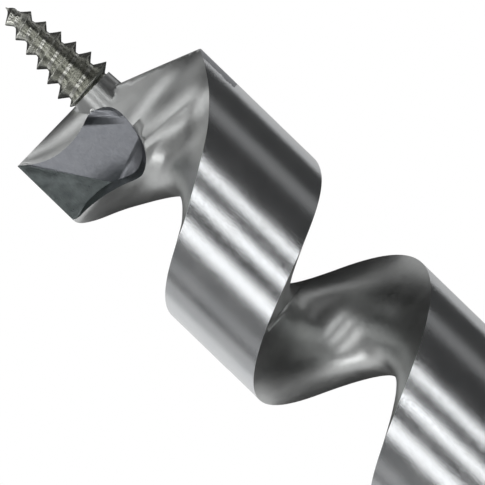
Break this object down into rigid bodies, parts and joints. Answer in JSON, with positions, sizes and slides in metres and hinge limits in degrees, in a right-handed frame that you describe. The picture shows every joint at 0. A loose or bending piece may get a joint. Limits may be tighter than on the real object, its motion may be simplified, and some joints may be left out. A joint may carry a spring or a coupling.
{
  "type": "wood auger bit",
  "caption": "Single-twist wood auger bit with a tapered lead screw, one cutting lip with a side spur, an open chip flute and a hexagonal drive shank",
  "frame": {"origin": "centre of the shank's end face", "axes": "+X along the bit's axis to the tip of the lead screw, +Z the side that the cutting lip's rake face looks to, +Y towards the outer corner of the cutting lip"},
  "size_m": [0.235, 0.025, 0.025],
  "materials": {
    "shank_steel": "turned and lightly polished steel",
    "polished_steel": "polished steel with fine lengthwise grain, ground cutting faces",
    "screw_steel": "darker as-cut thread with sparkling crests"
  },
  "bodies": {
    "root": {"hex_drive": "shank_steel", "round_shank": "shank_steel", "neck": "shank_steel", "twist": "polished_steel", "cutting_head": "polished_steel", "lead_screw": "screw_steel"}
  },
  "joints": []
}
